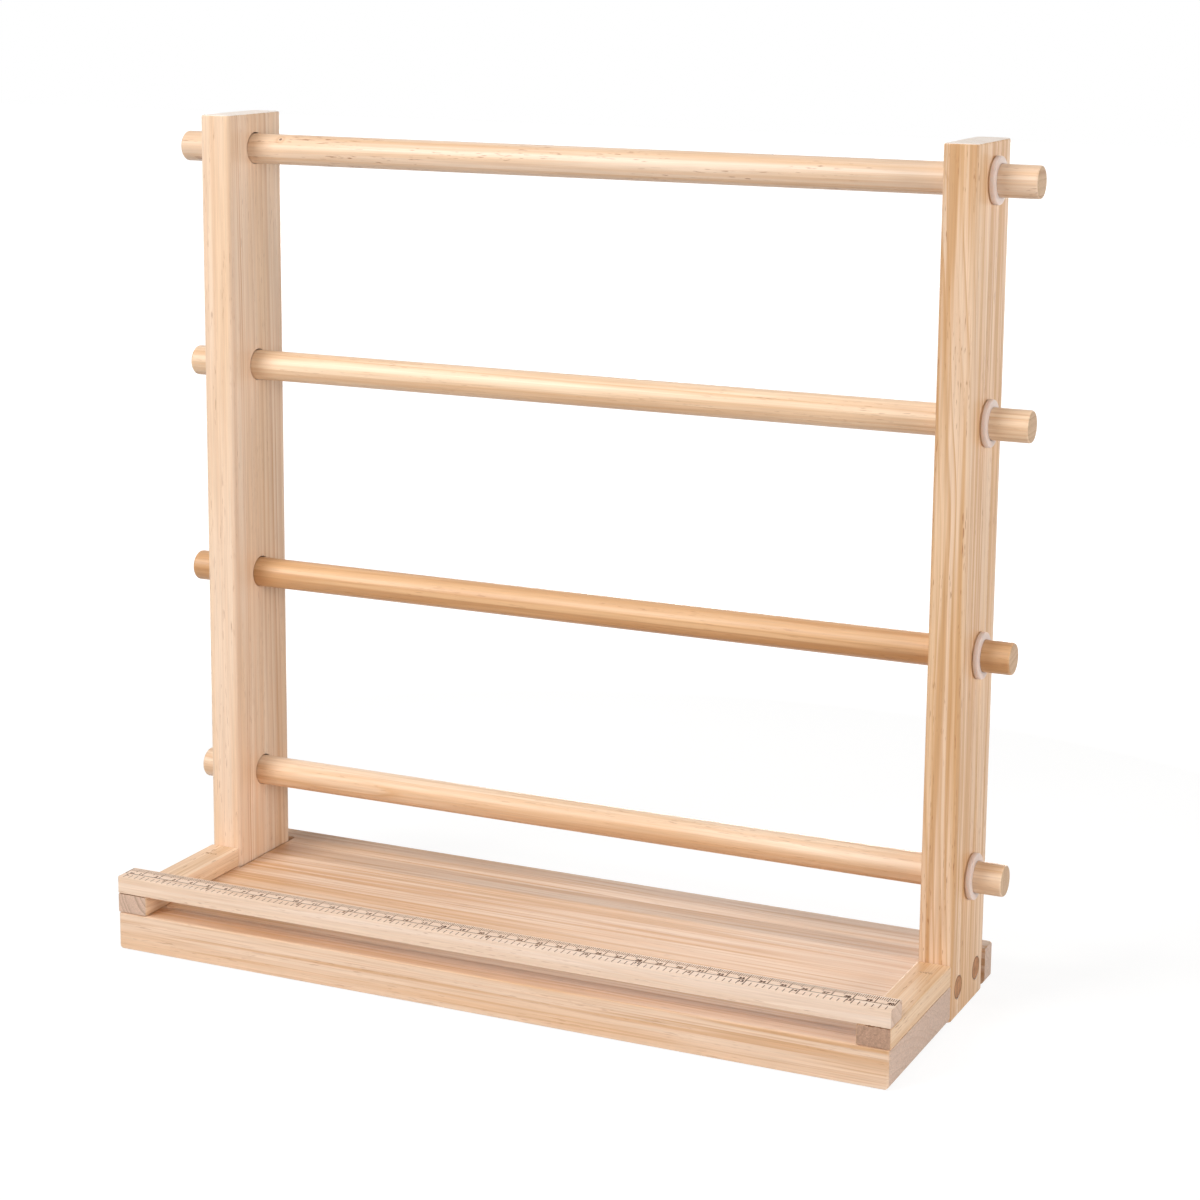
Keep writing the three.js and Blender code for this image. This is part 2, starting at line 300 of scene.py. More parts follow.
def log_place(graph, point, grain, seed, glue_lines=()):
    """The axes and the place in the log in mm, and which stave of a glued-up board it is in."""
    chance = random.Random(seed)
    apart = graph.apart(point)
    across, other, along = (apart[i] for i in GRAIN_ORDER[grain])
    stave = 0.0
    for line in glue_lines:
        stave = graph.math("ADD", graph.math("GREATER_THAN", across, line), stave)
    if glue_lines:
        other = graph.math("MULTIPLY_ADD", stave, STAVE_ACROSS, other)
        along = graph.math("MULTIPLY_ADD", stave, STAVE_ALONG, along)
    joined = graph.node("ShaderNodeCombineXYZ")
    for socket, value in zip(joined.inputs, (across, other, along)):
        graph.feed(socket, value)
    start = tuple(chance.uniform(-LOG_REACH, LOG_REACH) for _ in range(3))
    return (across, other, along), graph.vector("ADD", joined.outputs[0], start), stave


def pith_distance(graph, axes, place, pith, lean):
    """The distance in mm from the log's pith, which wanders, ripples and leans."""
    across, other, along = axes
    ripple = graph.math("MULTIPLY", figure(graph, place, "ripple"), RING_RIPPLE)
    sway = graph.math("MULTIPLY_ADD", figure(graph, place, "wander"), RING_WANDER, ripple)
    first = graph.math("ADD", graph.math("MULTIPLY_ADD", along, lean, across), sway)
    first = graph.math("SUBTRACT", first, pith[0] + (RING_WANDER + RING_RIPPLE) / 2)
    second = graph.math("MULTIPLY_ADD", along, lean * OTHER_LEAN, other)
    second = graph.math("SUBTRACT", second, pith[1])
    return graph.distance(first, second)


def year_rings(graph, axes, place, pith, ring, lean):
    """How far into each year's dark late wood a point is, from 0 to 1."""
    years = graph.math("DIVIDE", pith_distance(graph, axes, place, pith, lean), ring)
    uneven = graph.node("ShaderNodeTexNoise", noise_dimensions="1D")
    uneven.inputs["Scale"].default_value = YEAR_SCALE
    uneven.inputs["Detail"].default_value = 0.0
    graph.feed(uneven.inputs["W"], years)
    years = graph.math("MULTIPLY_ADD", uneven.outputs[0], YEAR_SWING, years)
    weight = graph.about(graph.chance(graph.math("FLOOR", years)), *WEAK_TO_FULL)
    return graph.math("MULTIPLY", graph.steps(graph.math("FRACT", years), LATE_WOOD), weight)


def long_grain(graph, axes, place, rings, look):
    """A face along the grain: year rings of varying clearness, warm patches, bands and streaks."""
    contrast = look["contrast"]
    clear = figure(graph, place, "clear")
    clear = graph.math("MULTIPLY_ADD", clear, CLEAR_SWING * contrast, CLEAR_LEAST * contrast)
    band = graph.math("MULTIPLY", figure(graph, place, "bands"), look["bands"])
    if look["pale_below"]:
        upper = graph.about(graph.rise(axes[1], *look["pale_below"]), *WEAK_TO_FULL)
        clear, band = graph.math("MULTIPLY", clear, upper), graph.math("MULTIPLY", band, upper)
    face = graph.blend(graph.math("MULTIPLY", rings, clear, clamp=True), look["early"], look["late"])
    warm = graph.math("MULTIPLY", figure(graph, place, "warm"), WARM_SHARE)
    face = graph.blend(warm, face, look["warm"])
    face = graph.blend(band, face, look["late"])
    streaks = graph.math("MULTIPLY", figure(graph, place, "streaks"), look["streaks"])
    return graph.blend(streaks, face, STREAK_TONE)


def end_grain(graph, place, rings, pores, look):
    """A face across the grain: year rings, open pores and coarse speckle."""
    share = graph.math("MULTIPLY", rings, look["end_rings"])
    end = graph.blend(share, look["end_early"], look["end_late"])
    end = graph.shade(end, pores, PORE_SWING)
    return graph.shade(end, figure(graph, place, "speckle"), look["speckle"])


# A pin knot, in mm from its middle: where its rim fades in and out, and where its dot fades out.
KNOT_RIM_IN, KNOT_RIM_OUT, KNOT_DOT_OUT = (0.9, 1.6), (1.8, 3.4), (0.45, 1.1)
KNOT_RIM_SHARE, KNOT_RIM_TONE = 0.35, tone(196, 142, 92)
KNOT_DOT_SHARE, KNOT_DOT_TONE = 0.85, tone(104, 62, 36)


def pin_knot(graph, place, centre, face):
    """A small dark knot with a paler rim of turned grain round it, centred at a place in mm."""
    reach = graph.vector("LENGTH", graph.vector("SUBTRACT", place, centre))
    fades = graph.rise(reach, *KNOT_RIM_IN), graph.rise(reach, *KNOT_RIM_OUT)
    rim = graph.math("SUBTRACT", *fades)
    face = graph.blend(graph.math("MULTIPLY", rim, KNOT_RIM_SHARE), face, KNOT_RIM_TONE)
    dot = graph.math("SUBTRACT", 1.0, graph.rise(reach, *KNOT_DOT_OUT))
    return graph.blend(graph.math("MULTIPLY", dot, KNOT_DOT_SHARE), face, KNOT_DOT_TONE)


def pine(name, grain, pith, early, late, seed, ring, lean, **own):
    """Sanded pine with year rings round a pith, fine fibres, resin dashes and porous end grain."""
    look = {**PINE_LOOK, "early": early, "late": late, "warm": late, **own}
    graph = Graph(name)
    point, facing = graph.held()
    axes, place, stave = log_place(graph, point, grain, seed, look["glue_lines"])
    rings = year_rings(graph, axes, place, pith, ring, lean)
    fibres, pores = figure(graph, place, "fibres"), figure(graph, place, "pores")
    groups = figure(graph, place, "dash_groups")
    dashes = graph.math("MULTIPLY", figure(graph, place, "dashes"), groups)

    face = graph.shade(long_grain(graph, axes, place, rings, look), fibres, FIBRE_SWING)
    face = graph.blend(graph.math("MULTIPLY", dashes, look["dashes"]), face, DASH_TONE)
    if look["knot"]:
        face = pin_knot(graph, point, look["knot"], face)
    end = end_grain(graph, place, rings, pores, look)
    if look["glue_lines"]:
        odd = graph.chance(stave)
        face, end = graph.shade(face, odd, *STAVE_SHADE), graph.shade(end, odd, *STAVE_SHADE)

    share = graph.rise(graph.along(facing, grain), *END_LIMITS)
    height = graph.math("MULTIPLY_ADD", graph.math("MULTIPLY", pores, share), PORE_BUMP, fibres)
    height = graph.math("MULTIPLY_ADD", dashes, DASH_BUMP, height)
    rough = graph.about(fibres, look["rough"], ROUGH_SWING)
    rough = graph.math("MULTIPLY_ADD", share, END_ROUGHER, rough)
    colour = graph.blend(share, face, end)
    return graph.finish(colour, rough, height, Specular_IOR_Level=look["shine"])


# The plugs' place in a log and year rings in mm, and the shares of their blots and dark rims.
PLUG_SEED, PLUG_PITH, PLUG_RING = 77, (-131.0, 14.0), 1.9
BLOT_SHARE, RIM_SHARE = 0.5, 0.6

# How far inside a plug's edge its dark rim starts and is complete, in mm.
RIM_START, RIM_END = 1.1, 0.1


def plug_wood():
    """The plugs' darker end grain, with close lines and open pores."""
    graph = Graph("plug_wood")
    point, _ = graph.held()
    axes, place, _ = log_place(graph, point, "X", PLUG_SEED)
    rings = year_rings(graph, axes, place, PLUG_PITH, PLUG_RING, 0.0)
    pores = figure(graph, place, "plug_pores")
    blots = graph.math("MULTIPLY", figure(graph, place, "plug_blots"), BLOT_SHARE)
    colour = graph.blend(rings, tone(186, 134, 92), tone(108, 66, 36))
    colour = graph.shade(graph.blend(blots, colour, tone(128, 86, 56)), pores, swing=0.35)
    rim = graph.math("MULTIPLY", plug_rim(graph, point), RIM_SHARE)
    colour = graph.blend(rim, colour, tone(92, 56, 34))
    return graph.finish(colour, graph.about(pores, middle=0.7, swing=0.1), pores, depth=0.12)


def plug_rim(graph, point):
    """1 at the edge of each plug and 0 over its middle."""
    front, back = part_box("right_front_plug"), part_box("right_back_plug")
    near, far = ((box[0] + box[1]) / 2 / MM for box in (front, back))
    radius = (front[1].z - front[0].z) / 2 / MM
    _, y, z = graph.apart(point)
    side = graph.math("ABSOLUTE", graph.math("SUBTRACT", y, (near.y + far.y) / 2))
    side = graph.math("SUBTRACT", side, (far.y - near.y) / 2)
    reach = graph.distance(side, graph.math("SUBTRACT", z, near.z))
    return graph.rise(reach, radius - RIM_START, radius - RIM_END)


def soft_ring():
    """Milky silicone, cloudy and a little dusty, warmer where it lies on the wood, with painted light
    that makes its rim lighter than its flat faces.
    """
    graph = Graph("soft_ring")
    place, facing = graph.held()
    dust = figure(graph, place, "ring_dust")
    colour = graph.blend(figure(graph, place, "ring_cloud"), tone(218, 196, 186), tone(230, 210, 202))
    # Painted light: the rim, which the post shades from the front lamp, is made lighter than the faces
    # along the X axis.
    flat = graph.rise(graph.along(facing, "X"), low=0.3, high=0.95)
    colour = graph.blend(flat, tone(234, 214, 206), colour)
    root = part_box("right_ring_1")[0].x / MM
    off_wood = graph.rise(graph.along(place, "X"), low=root + 0.3, high=root + 0.9)
    colour = graph.blend(off_wood, tone(224, 188, 152), colour)
    rough = graph.about(dust, middle=0.42, swing=0.1)
    return graph.finish(
        graph.shade(colour, dust, swing=0.06), rough, dust, depth=0.03,
        Subsurface_Weight=0.7, Subsurface_Radius=(1.0, 0.85, 0.8), Subsurface_Scale=4 * MM,
    )


def seat_skin():
    """Wood colour blurred by the ring above it."""
    graph = Graph("seat_skin")
    place, _ = graph.held()
    cloud = figure(graph, place, "seat_cloud")
    colour = graph.blend(cloud, tone(236, 200, 162), tone(218, 178, 138))
    return graph.finish(colour, graph.about(cloud, middle=0.5, swing=0.1))


def filler():
    """Sanding dust and filler over a sunk staple: broken brown dashes on wood colour."""
    graph = Graph("filler")
    place, _ = graph.held()
    dust = figure(graph, place, "filler_dust")
    breaks = figure(graph, place, "filler_breaks")
    colour = graph.blend(breaks, tone(226, 190, 152), tone(168, 128, 96))
    colour = graph.shade(colour, dust, swing=0.15)
    return graph.finish(colour, graph.about(dust, middle=0.7, swing=0.1), dust, depth=0.03)


def steel():
    """Drawn wire and plated screws, dull grey with fine lines along them."""
    graph = Graph("steel")
    place, _ = graph.held()
    lines = figure(graph, place, "steel_lines")
    colour = graph.blend(figure(graph, place, "steel_spots"), tone(150, 148, 146), tone(196, 194, 192))
    rough = graph.about(lines, middle=0.38, swing=0.12)
    return graph.finish(colour, rough, lines, depth=0.02, Metallic=1.0)


def old_glue():
    """Painted shade in the seams under the bar: dark brown, with darker clots."""
    graph = Graph("old_glue")
    place, _ = graph.held()
    clots = figure(graph, place, "seam_shade_clots")
    colour = graph.blend(clots, tone(84, 50, 28), tone(160, 112, 72))
    return graph.finish(colour, graph.about(clots, middle=0.5, swing=0.15), clots, depth=0.04)


# How much more the ink has worn with each mm to the left, and where wear begins and is complete.
INK_WEAR, WEAR_LIMITS = 0.0016, (0.22, 0.56)


def ink():
    """Thin brown printing ink, uneven where it soaked into the wood and fainter to the left."""
    graph = Graph("ink")
    place, _ = graph.held()
    soaked = figure(graph, place, "ink_soaked")
    left = graph.math("MULTIPLY", graph.vector("DOT_PRODUCT", place, AXES["X"]), -INK_WEAR)
    worn = graph.math("ADD", figure(graph, place, "ink_worn"), left)
    colour = graph.blend(soaked, tone(44, 20, 8), tone(84, 44, 22))
    colour = graph.blend(graph.rise(worn, *WEAR_LIMITS), colour, tone(124, 94, 72))
    rough = graph.about(soaked, middle=0.8, swing=0.1)
    return graph.finish(colour, rough, soaked, depth=0.01, Specular_IOR_Level=0.08)


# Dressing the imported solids: the steepest edge shaded smooth, and how near corners join, in metres.
SMOOTH_ANGLE = math.radians(40)
WELD_REACH = 1e-6

# In mm: where rod 1's knot is, and the rods' middle on the Y axis.
ROD_KNOT = (-165.5, 29.5, 392.5)
ROD_MIDDLE = 34.65

# How far apart in mm the rods' piths are, the seed before rod 1's, and each rod's two tones.
ROD_PITH_STEP, ROD_SEED = (9, 16.0), 50
ROD_TONES = (
    (tone(238, 212, 188), tone(222, 182, 142)), (tone(246, 218, 188), tone(220, 176, 132)),
    (tone(226, 182, 136), tone(192, 138, 88)), (tone(246, 218, 190), tone(220, 176, 132)),
)


def smoothing():
    """A modifier group that joins the faces' corners and shades gentle edges smooth."""
    tree = bpy.data.node_groups.new("smoothing", "GeometryNodeTree")
    tree.interface.new_socket("Geometry", in_out="INPUT", socket_type="NodeSocketGeometry")
    tree.interface.new_socket("Geometry", in_out="OUTPUT", socket_type="NodeSocketGeometry")
    start = tree.nodes.new("NodeGroupInput")
    end = tree.nodes.new("NodeGroupOutput")
    weld = tree.nodes.new("GeometryNodeMergeByDistance")
    weld.inputs["Distance"].default_value = WELD_REACH
    clear = tree.nodes.new("GeometryNodeRemoveAttribute")
    clear.inputs["Name"].default_value = "custom_normal"
    faces = tree.nodes.new("GeometryNodeSetShadeSmooth")
    faces.domain = "FACE"
    faces.inputs["Shade Smooth"].default_value = True
    angle = tree.nodes.new("GeometryNodeInputMeshEdgeAngle")
    sharp = tree.nodes.new("FunctionNodeCompare")
    sharp.operation = "GREATER_THAN"
    sharp.inputs["B"].default_value = SMOOTH_ANGLE
    edges = tree.nodes.new("GeometryNodeSetShadeSmooth")
    edges.domain = "EDGE"
    edges.inputs["Shade Smooth"].default_value = False
    chain = (start, weld, clear, faces, edges, end)
    for before, after in zip(chain, chain[1:]):
        tree.links.new(before.outputs[0], after.inputs[0])
    tree.links.new(angle.outputs[0], sharp.inputs["A"])
    tree.links.new(sharp.outputs[0], edges.inputs["Selection"])
    return tree


def dress(name, material, group):
    """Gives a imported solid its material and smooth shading."""
    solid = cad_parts[name]
    solid.data.materials.clear()
    solid.data.materials.append(material)
    smooth = solid.modifiers.new("smoothing", "NODES")
    smooth.node_group = group
    flat = solid.modifiers.new("flat_faces", "WEIGHTED_NORMAL")
    flat.keep_sharp = True


def dress_board(group):
    """The base board, glued up from three staves."""
    dress("base_board", pine(
        "pine_board", "X", pith=(-79.0, -107.0), early=tone(237, 209, 185), late=tone(208, 158, 110),
        seed=11, ring=3.6, lean=0.006, contrast=1.05, warm=tone(224, 180, 138),
        glue_lines=(-21.0, 30.0), pale_below=(5.0, 15.0), bands=0.7, dashes=0.3,
        end_early=tone(208, 183, 167), end_rings=0.6, speckle=0.28,
    ), group)


def dress_posts(group):
    """The two posts, whose end grain is painted near white as a highlight on their top faces."""
    # Near white end grain: a painted highlight for the light that falls on the posts' top faces.
    painted_highlight_tops = {"end_early": tone(254, 244, 236), "end_late": tone(238, 222, 206)}
    dress("left_post", pine(
        "pine_left_post", "Z", pith=(-138.0, -72.0), early=tone(244, 218, 194),
        late=tone(208, 156, 108), seed=23, ring=4.2, lean=0.05, contrast=1.2,
        warm=tone(236, 200, 164), streaks=0.1, dashes=0.35, bands=0.2, **painted_highlight_tops,
    ), group)
    dress("right_post", pine(
        "pine_right_post", "Z", pith=(110.0, -38.0), early=tone(236, 206, 178),
        late=tone(203, 155, 106), seed=29, ring=3.2, lean=0.02, contrast=1.3,
        warm=tone(228, 188, 144), streaks=0.3, bands=0.75, **painted_highlight_tops,
    ), group)


def dress_strips(group):
    """The two rails on the board, and the measuring bar on their front ends."""
    dress("left_rail", pine(
        "pine_left_rail", "Y", pith=(-168.0, 40.0), early=tone(246, 218, 190),
        late=tone(218, 178, 138), seed=37, ring=3.4, lean=0.01,
        end_early=tone(213, 183, 163), end_late=tone(160, 132, 114),
    ), group)
    dress("right_rail", pine(
        "pine_right_rail", "Y", pith=(150.0, 60.0), early=tone(234, 204, 172),
        late=tone(210, 166, 122), seed=41, ring=3.0, lean=0.02, speckle=0.4,
        end_early=tone(185, 150, 128), end_late=tone(150, 118, 98), end_rings=0.3,
    ), group)
    dress("measuring_bar", pine(
        "pine_bar", "X", pith=(-20.0, 90.0), early=tone(243, 220, 202), late=tone(230, 198, 170),
        seed=43, ring=4.6, lean=0.004, contrast=0.7, warm=tone(236, 206, 178), dashes=0.4,
        streaks=0.12,
    ), group)


def dress_rods(group):
    """The four rods, smoother than the rest, with a knot and more resin in rod 1."""
    for number, (early, late) in zip(ROD_NUMBERS, ROD_TONES):
        own = {"knot": ROD_KNOT, "dashes": 0.85} if number == 1 else {"dashes": 0.35}
        pith = (ROD_MIDDLE + ROD_PITH_STEP[0] * number, ROD_PITH_STEP[1] * number)
        dress(f"rod_{number}", pine(
            f"pine_rod_{number}", "X", pith, early, late, seed=ROD_SEED + number,
            ring=3.6, lean=0.01, rough=0.4, shine=0.5, streaks=0.2,
            end_early=tone(201, 170, 139), end_late=tone(168, 130, 100), **own,
        ), group)


def dress_fittings(group):
    """The soft rings, the plugs and the steel."""
    rings, plugs, metal = soft_ring(), plug_wood(), steel()
    for side in SIDES:
        for number in ROD_NUMBERS:
            dress(f"{side}_ring_{number}", rings, group)
        for place in PLACES:
            dress(f"{side}_{place}_plug", plugs, group)
            dress(f"{side}_{place}_screw", metal, group)
            dress(f"{side}_{place}_staple", metal, group)
        dress(f"{side}_bar_pin", metal, group)


def dress_all():
    """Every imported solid's material, with each stick of pine cut from its own place in a log."""
    group = smoothing()
    for part in (dress_board, dress_posts, dress_strips, dress_rods, dress_fittings):
        part(group)


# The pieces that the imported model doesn't have.

def add_piece(name, made, material, body=STAND):
    """Turns a built mesh into a piece on a body, with the given material."""
    mesh = bpy.data.meshes.new(name)
    made.to_mesh(mesh)
    made.free()
    mesh.materials.append(material)
    piece = bpy.data.objects.new(name, mesh)
    bpy.context.scene.collection.objects.link(piece)
    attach(piece, body)


# The printed scale, in mm: its ink's height, and the heights of its figures and units.
INK_HEIGHT = 0.03
CM_DIGIT, INCH_DIGIT, UNIT_SIGN = 2.2, 2.1, 1.5

# A sign's height out of its type's size, its strokes' swell out of its height, and a curve's steps.
GLYPH_STANDS, GLYPH_BOLD, GLYPH_STEPS = 0.73, 0.06, 3

# In mm: the rows' distance from the bar's back edge and ends, and the line between the rows.
SCALE_BACK, SCALE_END = 1.3, 0.9
MID_LINE, MID_WIDTH = 5.9, 0.4

# In mm: the ticks' lengths and widths, and how far the inch row starts from the front edge.
MM_TICK, HALF_TICK = 3.3, 4.4
EIGHTH_START, EIGHTH_TICK, HALF_INCH_TICK = 0.3, 3.6, 4.6
LONG_WIDTH, HALF_WIDTH, EIGHTH_WIDTH, MM_WIDTH = 0.42, 0.36, 0.32, 0.26
INCH = 25.4

# In mm: how far a figure ends left of its mark, and how far it stands off the line.
CM_LEFT, CM_RISE = 1.3, 0.55
INCH_LEFT, INCH_DROP = 0.7, 0.75

# In mm: where the units end, from the bar's left end, and how far "cm" stands off the line.
CM_UNIT, INCH_UNIT, CM_UNIT_RISE = 5.2, 4.4, 0.6

# How near two of the marks' corners join, in metres.
MARK_WELD = 1e-7


def glyph_mesh(text, height):
    """One written sign as a closed mesh, its left foot at the origin, in metres."""
    curve = bpy.data.curves.new("glyph", "FONT")
    curve.body = text
    curve.size = height * MM / GLYPH_STANDS
    curve.extrude = INK_HEIGHT * MM / 2
    curve.offset = height * MM * GLYPH_BOLD
    curve.resolution_u = GLYPH_STEPS
    holder = bpy.data.objects.new("glyph", curve)
    bpy.context.scene.collection.objects.link(holder)
    bpy.context.view_layer.update()
    shaped = holder.evaluated_get(bpy.context.evaluated_depsgraph_get())
    mesh = bpy.data.meshes.new_from_object(shaped)
    bpy.data.objects.remove(holder)
    bpy.data.curves.remove(curve)
    return mesh


class ScalePrint:
    """The measuring bar's printed top, on which marks are placed in mm."""

    def __init__(self):
        low, high = (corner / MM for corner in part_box("measuring_bar"))
        self.left, self.right, self.top = low.x, high.x, high.z
        self.front, self.back = low.y, high.y - SCALE_BACK
        self.middle = self.front + MID_LINE
        self.length = round(high.x - low.x)
        self.marks, self.signs = bmesh.new(), {}

    def block(self, x0, x1, y0, y1):
        """A closed block of ink."""
        low, high = (x0, y0, self.top), (x1, y1, self.top + INK_HEIGHT)
        size = [(b - a) * MM for a, b in zip(low, high)]
        middle = [(a + b) / 2 * MM for a, b in zip(low, high)]
        place = Matrix.Translation(middle) @ Matrix.Diagonal(size + [1.0])
        bmesh.ops.create_cube(self.marks, size=1.0, matrix=place)

    def tick(self, x, y0, y1, width):
        self.block(x - width / 2, x + width / 2, min(y0, y1), max(y0, y1))

    def write(self, text, right, foot, height):
        """Writes a sign whose right end and foot are given."""
        if (text, height) not in self.signs:
            self.signs[text, height] = glyph_mesh(text, height)
        sign = self.signs[text, height]
        width = max(v.co.x for v in sign.vertices)
        before = len(self.marks.verts)
        self.marks.from_mesh(sign)
        self.marks.verts.ensure_lookup_table()
        move = Vector((right * MM - width, foot * MM, (self.top + INK_HEIGHT / 2) * MM))
        for vertex in self.marks.verts[before:]:
            vertex.co += move


def centimetre_row(scale):
    """Millimetre ticks along the bar's back edge, the line under them, and the figures."""
    first, last = scale.left + SCALE_END, scale.right - SCALE_END
    for step in range(scale.length + 1):
        x = min(max(scale.left + step, first), last)
        if step % 10 == 0:
            scale.tick(x, scale.back, scale.middle, LONG_WIDTH)
        elif step % 5 == 0:
            scale.tick(x, scale.back, scale.back - HALF_TICK, HALF_WIDTH)
        else:
            scale.tick(x, scale.back, scale.back - MM_TICK, MM_WIDTH)
    scale.block(first, last, scale.middle - MID_WIDTH / 2, scale.middle + MID_WIDTH / 2)
    for number in range(1, scale.length // 10 + 1):
        right = scale.left + 10 * number - CM_LEFT
        scale.write(str(number), right, scale.middle + CM_RISE, CM_DIGIT)


def inch_row(scale):
    """Ticks of an eighth of an inch along the bar's front edge, and the figures."""
    start, eighth = scale.front + EIGHTH_START, INCH / 8
    for step in range(1, int(scale.length / eighth) + 1):
        x = scale.left + eighth * step
        if step % 8 == 0:
            scale.tick(x, scale.middle, start, LONG_WIDTH)
            foot = scale.middle - INCH_DROP - INCH_DIGIT
            scale.write(str(step // 8), x - INCH_LEFT, foot, INCH_DIGIT)
        else:
            reach = HALF_INCH_TICK if step % 4 == 0 else EIGHTH_TICK
            scale.tick(x, start, start + reach, EIGHTH_WIDTH)


def printed_scale(material):
    """Centimetres along the bar's back edge and inches along its front, each mark raised a little."""
    scale = ScalePrint()
    centimetre_row(scale)
    inch_row(scale)
    scale.write("cm", scale.left + CM_UNIT, scale.middle + CM_UNIT_RISE, UNIT_SIGN)
    scale.write("in", scale.left + INCH_UNIT, scale.middle - INCH_DROP - INCH_DIGIT, UNIT_SIGN)
    bmesh.ops.remove_doubles(scale.marks, verts=scale.marks.verts, dist=MARK_WELD)
    add_piece("printed_scale", scale.marks, material)


# Fillers, in mm: how far they are sunk and reach past a staple, and their columns, rows and lumps.
FILLER_SUNK, FILLER_OVER = 0.03, Vector((0.27, 0.27, 0.02))
FILLER_GRID, FILLER_LUMP, FILLER_SEED = (8, 3), 0.1, 5

# Beads of painted seam shade, in mm: each one's reach along its rail's width and its thickness, and
# how it lies.
SEAM_SHADE_BEADS = {"left": ((1.0, 15.0), 0.3), "right": ((4.5, 15.6), 0.9)}
SEAM_SHADE_SUNK, SEAM_SHADE_DEPTH = 0.04, 0.7

# Their columns and rows, and their lumps' share of the thickness.
SEAM_SHADE_GRID, SEAM_SHADE_LUMP, SEAM_SHADE_SEED = (16, 2), 0.4, 9


def slab_sheet(made, low, high, grid, lump, chance, top):
    """The rows of points of a slab's uneven top, or of its flat underside."""
    columns, rows = grid
    sheet = []
    for i in range(columns + 1):
        line = []
        for j in range(rows + 1):
            x = low[0] + (high[0] - low[0]) * i / columns
            y = low[1] + (high[1] - low[1]) * j / rows
            if j in (0, rows):
                y += chance.uniform(0, lump) * (1 if j == 0 else -1)
            z = high[2] - chance.uniform(0, lump) if top else low[2]
            line.append(made.verts.new((x * MM, y * MM, z * MM)))
        sheet.append(line)
    return sheet


def border(columns, rows):
    """The places round the outside of a grid, in order."""
    there = [(i, 0) for i in range(columns)] + [(columns, j) for j in range(rows)]
    back = [(i, rows) for i in range(columns, 0, -1)] + [(0, j) for j in range(rows, 0, -1)]
    return there + back


def lumpy_slab(low, high, grid, lump, seed):
    """A closed slab in mm with an uneven top and ragged long sides."""
    columns, rows = grid
    chance = random.Random(seed)
    made = bmesh.new()
    upper = slab_sheet(made, low, high, grid, lump, chance, True)
    lower = slab_sheet(made, low, high, grid, lump, chance, False)
    for i in range(columns):
        for j in range(rows):
            made.faces.new((upper[i][j], upper[i + 1][j], upper[i + 1][j + 1], upper[i][j + 1]))
            made.faces.new((lower[i][j], lower[i][j + 1], lower[i + 1][j + 1], lower[i + 1][j]))
    edge = border(columns, rows)
    for (a, b), (c, d) in zip(edge, edge[1:] + edge[:1]):
        made.faces.new((lower[a][b], lower[c][d], upper[c][d], upper[a][b]))
    return made


def fillers(material):
    """Fills the slot over each sunk staple, a hair below the rail's top."""
    for side in SIDES:
        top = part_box(f"{side}_rail")[1].z / MM - FILLER_SUNK
        for place in PLACES:
            low, high = (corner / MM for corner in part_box(f"{side}_{place}_staple"))
            low, high = low - FILLER_OVER, high + FILLER_OVER
            low, high = (low.x, low.y, high.z), (high.x, high.y, top)
            made = lumpy_slab(low, high, FILLER_GRID, FILLER_LUMP, FILLER_SEED)
            add_piece(f"{side}_{place}_filler", made, material)


def glue_beads(material):
    """Dark beads of painted shade in the groove between the bar's underside and the front ends of the
    rails.
    """
    for side, (reach, thickness) in SEAM_SHADE_BEADS.items():
        rail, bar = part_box(f"{side}_rail"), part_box("measuring_bar")
        start, level = rail[0].x / MM, bar[0].z / MM
        low = Vector((start + reach[0], bar[0].y / MM + SEAM_SHADE_SUNK, level - thickness / 2))
        high = Vector((start + reach[1], low.y + SEAM_SHADE_DEPTH, level + thickness / 2))
        made = lumpy_slab(low, high, SEAM_SHADE_GRID, thickness * SEAM_SHADE_LUMP, SEAM_SHADE_SEED)
        add_piece(f"{side}_seam_shade_bead", made, material)


# Seats under the rings' rims: the share of the gap to the post left clear at each face of a seat,
# its inner radius and how far it stays within the ring's rim in mm, and its sides.
SEAT_CLEAR, SEAT_INNER, SEAT_SHY, SEAT_SIDES = 0.12, 8.2, 0.2, 40


def ring_of(made, x, middle, reach):
    """A circle of points round the X axis through middle."""
    points = []
    for i in range(SEAT_SIDES):
        angle = 2 * math.pi * i / SEAT_SIDES
        y, z = middle.y + reach * math.cos(angle), middle.z + reach * math.sin(angle)
        points.append(made.verts.new((x, y, z)))
    return points


def seat(side, name, post):
    """A closed flat ring that nearly fills the gap between a soft ring and its post."""
    low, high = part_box(name)
    post_low, post_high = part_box(post)
    near, far = (post_high.x, low.x) if side == "right" else (high.x, post_low.x)
    clear = (far - near) * SEAT_CLEAR
    middle, radius = (low + high) / 2, (high.z - low.z) / 2
    reaches = (SEAT_INNER * MM, radius - SEAT_SHY * MM)
    made = bmesh.new()
    inner, outer, far_inner, far_outer = [
        ring_of(made, x, middle, reach) for x in (near + clear, far - clear) for reach in reaches
    ]
    for first, second in (
        (inner, outer), (outer, far_outer), (far_outer, far_inner), (far_inner, inner),
    ):
        for i in range(SEAT_SIDES):
            k = (i + 1) % SEAT_SIDES
            made.faces.new((first[i], first[k], second[k], second[i]))
    bmesh.ops.recalc_face_normals(made, faces=made.faces)
    return made


def ring_seats(material):
    """The warm wood tone that shows through each ring's rim where it meets the post."""
    for side in SIDES:
        for number in ROD_NUMBERS:
            name = f"{side}_ring_{number}"
            made = seat(side, name, f"{side}_post")
            add_piece(f"{name}_seat", made, material, name)


# The studio.

